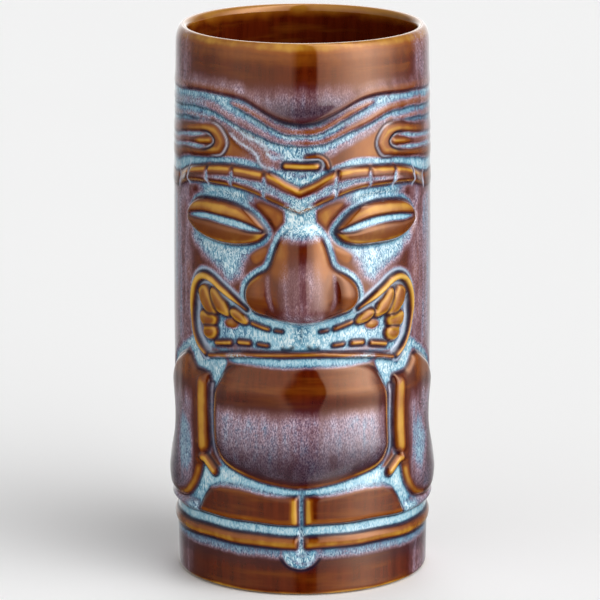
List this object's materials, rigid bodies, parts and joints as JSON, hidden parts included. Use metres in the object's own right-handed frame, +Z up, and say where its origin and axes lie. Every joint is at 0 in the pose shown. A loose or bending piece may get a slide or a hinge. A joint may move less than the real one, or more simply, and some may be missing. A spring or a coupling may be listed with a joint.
{
  "type": "ceramic tiki mug",
  "caption": "Straight-sided ceramic drinking mug with a carved tiki face in relief, a rounded lip, a foot ring and a streaked brown and blue glaze.",
  "frame": {"origin": "middle of the footprint of the whole mug, on the surface that it stands on", "axes": "+Z up along the mug's axis, -Y out of the face towards the viewer, +X to the viewer's right"},
  "size_m": [0.08, 0.083, 0.167],
  "materials": {
    "stoneware": "matte",
    "reactive_glaze": "gloss",
    "brown_glaze": "gloss"
  },
  "bodies": {
    "root": {"stoneware_body": "stoneware", "outside_glaze": "reactive_glaze", "inside_glaze": "brown_glaze", "underside_glaze": "brown_glaze"}
  },
  "joints": []
}
